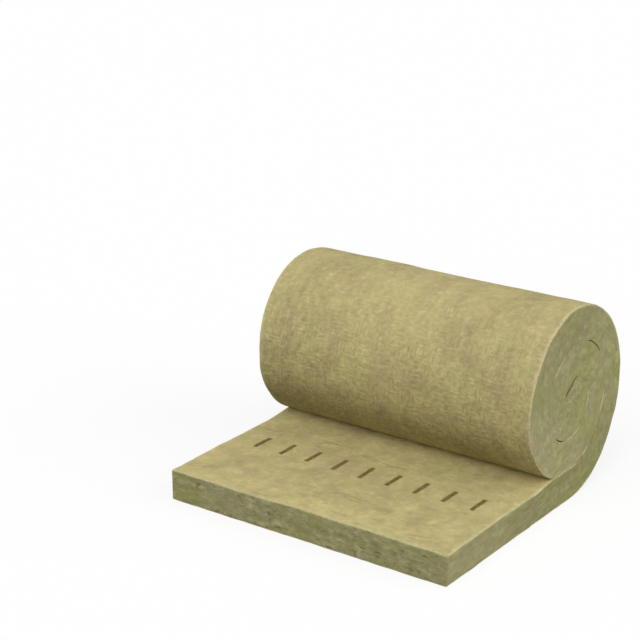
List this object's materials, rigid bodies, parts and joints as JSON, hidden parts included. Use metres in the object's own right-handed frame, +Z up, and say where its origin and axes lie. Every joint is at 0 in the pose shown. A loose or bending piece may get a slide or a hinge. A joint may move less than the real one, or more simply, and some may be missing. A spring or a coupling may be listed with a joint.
{
  "type": "insulation roll",
  "caption": "Stone wool insulation blanket, wound into a roll whose outer end lies unrolled flat on the floor; cut to length and pressed between rafters or studs.",
  "frame": {"origin": "on the floor, under the middle of the overall length and width", "axes": "+X along the flat end from its cut edge towards the roll, +Y along the roll's axis, +Z up"},
  "size_m": [1.022, 1, 0.624],
  "materials": {
    "stone_wool": "matte bonded mineral fibre, straw-coloured faces and greener cut edges"
  },
  "bodies": {
    "root": {"wool_blanket": "stone_wool"}
  },
  "joints": []
}
